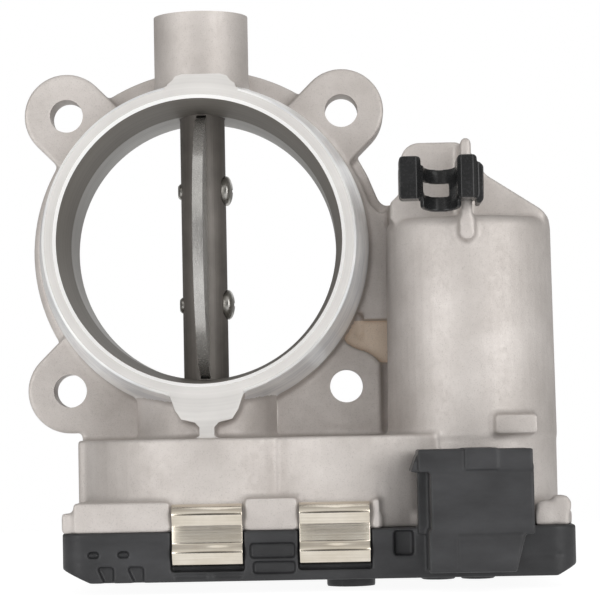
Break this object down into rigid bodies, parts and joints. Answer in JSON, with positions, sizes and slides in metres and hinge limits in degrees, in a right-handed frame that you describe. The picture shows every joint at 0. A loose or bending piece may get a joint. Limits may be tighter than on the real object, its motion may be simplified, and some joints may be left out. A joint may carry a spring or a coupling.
{
  "type": "throttle body",
  "caption": "Electronic throttle body: round bore with a turning plate on a vertical shaft, four-ear flange, motor chamber, gear case with clipped cover and a connector.",
  "frame": {"origin": "where the bore axis meets the mounting face, the rear face of the four-ear flange", "axes": "+Y along the bore, downstream towards the engine; +Z along the throttle shaft, away from the gear case; +X towards the motor chamber"},
  "size_m": [0.1363, 0.0875, 0.1444],
  "materials": {
    "cast_aluminium": "shot-blasted casting, machined faces",
    "plated_steel": "zinc plated",
    "bearing_steel": "ground",
    "seal_rubber": "matte",
    "shaft_steel": "dark, ground",
    "plate_metal": "turned edge",
    "screw_steel": "plated",
    "gear_plastic": "moulded",
    "magnet": "dull ferrite",
    "spring_steel": "drawn wire",
    "brass": "turned",
    "core_steel": "laminated",
    "copper": "enamelled copper",
    "black_plastic": "glass-filled, moulded",
    "carbon": "sintered",
    "clip_steel": "bright nickel",
    "contact_metal": "tinned",
    "board": "lacquered board",
    "clip_plastic": "moulded"
  },
  "bodies": {
    "root": {"housing": "cast_aluminium", "shaft_end_plug": "plated_steel", "needle_bearing_shell": "bearing_steel", "upper_shaft_seal": "seal_rubber", "lower_shaft_seal": "seal_rubber", "ball_bearing_outer_race": "bearing_steel", "return_spring": "spring_steel", "spring_bush": "gear_plastic", "idler_pin": "bearing_steel", "motor_can": "plated_steel", "motor_magnets": "magnet", "motor_end_plate": "plated_steel", "brush_holder": "black_plastic", "motor_brushes": "carbon", "motor_rear_bush": "brass", "motor_front_bush": "brass", "motor_wave_spring": "spring_steel", "motor_screws": "screw_steel", "cover": "black_plastic", "cover_gasket": "seal_rubber", "cover_clips": "clip_steel", "connector_pins": "contact_metal", "motor_contacts": "contact_metal", "sensor_board": "board", "sensor_chip": "black_plastic", "wire_clip": "clip_plastic"},
    "throttle": {"throttle_shaft": "shaft_steel", "throttle_plate": "plate_metal", "plate_screws": "screw_steel", "sector_gear": "gear_plastic", "sector_insert": "plated_steel", "sensor_magnet": "magnet", "ball_bearing_inner_race": "bearing_steel"},
    "idler": {"idler_gear": "gear_plastic"},
    "rotor": {"motor_pinion": "brass", "motor_shaft": "bearing_steel", "armature_core": "core_steel", "armature_windings": "copper", "commutator": "copper"},
    "ball_set": {"bearing_balls": "bearing_steel"},
    "needle_set": {"bearing_needles": "bearing_steel"}
  },
  "joints": [
    {"name": "throttle_turn", "type": "hinge", "parent": "root", "child": "throttle", "pos_m": [0, -0.018, 0], "axis": [0, 0, -1], "range_deg": [0, 85], "stiffness_Nm_per_rad": 0.02, "springref_deg": -20.05, "deforming": ["return_spring"]},
    {"name": "idler_turn", "type": "hinge", "parent": "root", "child": "idler", "pos_m": [0.03494, -0.02008, 0], "axis": [0, 0, -1], "range_deg": [-287.88, 0]},
    {"name": "motor_turn", "type": "hinge", "parent": "root", "child": "rotor", "pos_m": [0.06688, -0.02197, 0], "axis": [0, 0, -1], "range_deg": [0, 1357.41]},
    {"name": "ball_set_turn", "type": "hinge", "parent": "root", "child": "ball_set", "pos_m": [0, -0.018, 0], "axis": [0, 0, -1], "range_deg": [0, 34.2]},
    {"name": "needle_set_turn", "type": "hinge", "parent": "root", "child": "needle_set", "pos_m": [0, -0.018, 0], "axis": [0, 0, -1], "range_deg": [0, 35.31]}
  ],
  "couplings": [
    {"joint": "idler_turn", "follows": "throttle_turn", "ratio": -3.375},
    {"joint": "motor_turn", "follows": "throttle_turn", "ratio": 15.911},
    {"joint": "ball_set_turn", "follows": "throttle_turn", "ratio": 0.39062},
    {"joint": "needle_set_turn", "follows": "throttle_turn", "ratio": 0.40369}
  ]
}
